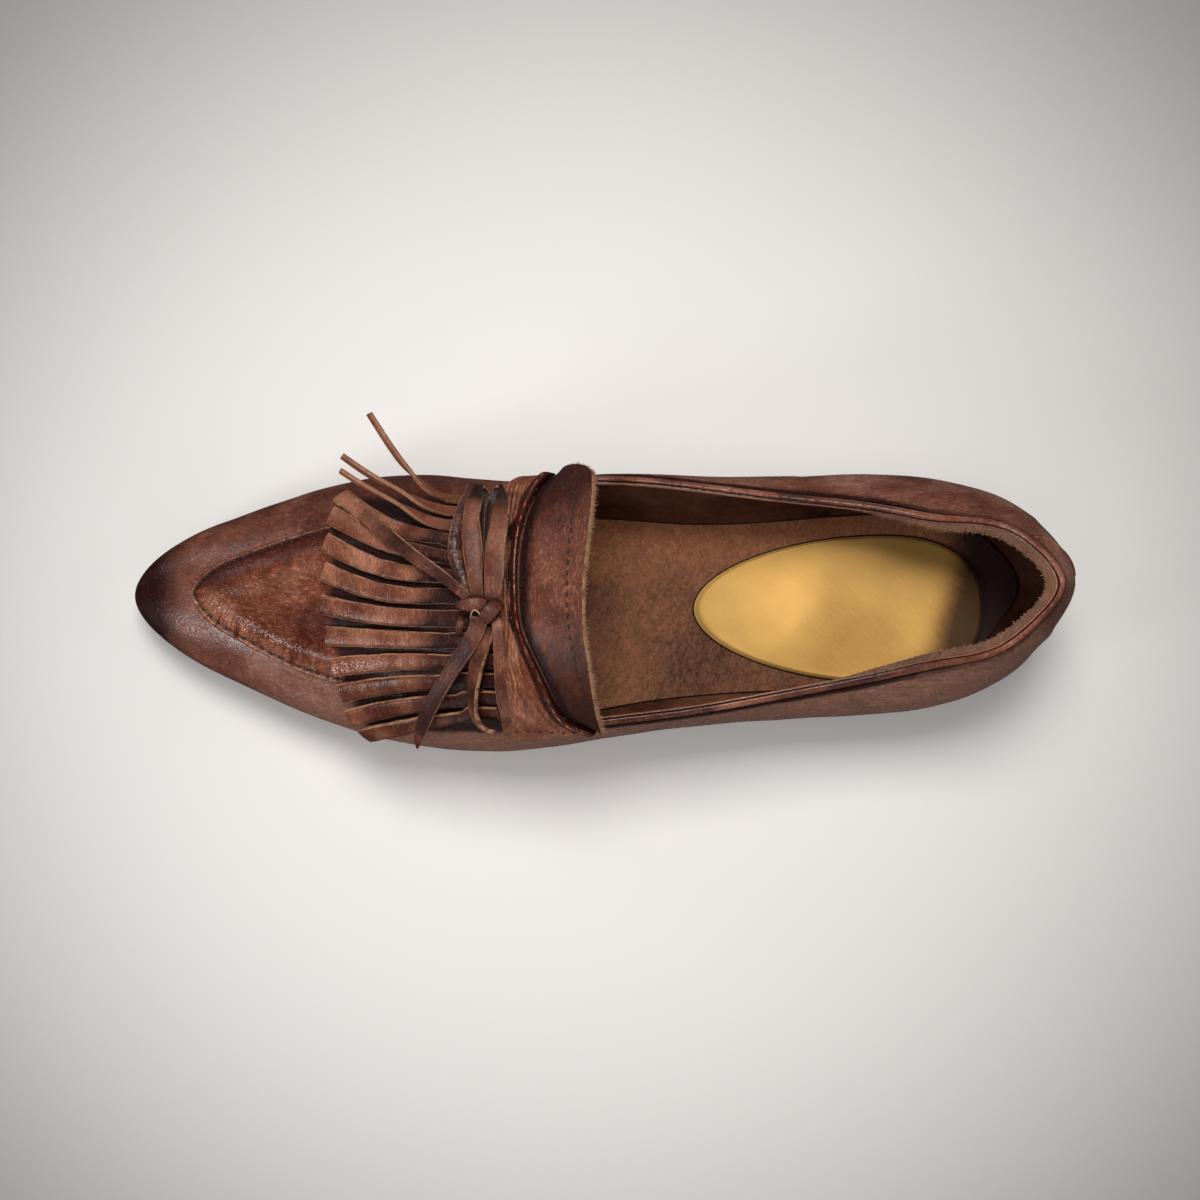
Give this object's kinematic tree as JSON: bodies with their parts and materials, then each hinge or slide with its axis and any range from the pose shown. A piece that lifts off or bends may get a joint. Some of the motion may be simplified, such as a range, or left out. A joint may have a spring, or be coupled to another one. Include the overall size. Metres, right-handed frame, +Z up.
{
  "type": "tassel loafer",
  "caption": "Left pointed-toe leather loafer with a lapped apron, saddle strap, standing tongue, fringe and knotted bow, open at the collar, on a thin sole with a low heel.",
  "frame": {"origin": "on the floor under the middle of the heel's tread", "axes": "+X from the heel to the toe, +Y to the outer (lateral) side of the left foot, +Z up"},
  "size_m": [0.2679, 0.0951, 0.0704],
  "materials": {
    "brown_leather": "burnished, soft sheen",
    "dark_leather": "burnished, stained",
    "insole_suede": "napped",
    "gold_pad": "metallic gold foil",
    "sole_rubber": "matt"
  },
  "bodies": {
    "root": {"outsole": "sole_rubber", "heel": "sole_rubber", "insole": "insole_suede", "heel_pad": "gold_pad", "upper": "brown_leather", "apron": "brown_leather", "saddle": "dark_leather", "tongue": "brown_leather", "collar_binding": "brown_leather", "fringe": "brown_leather", "knot": "dark_leather", "loop_medial_front": "dark_leather", "loop_medial_back": "dark_leather", "loop_lateral_front": "dark_leather", "loop_lateral_back": "dark_leather", "bow_strap": "dark_leather", "tail_medial": "dark_leather", "tail_lateral": "dark_leather"}
  },
  "joints": []
}
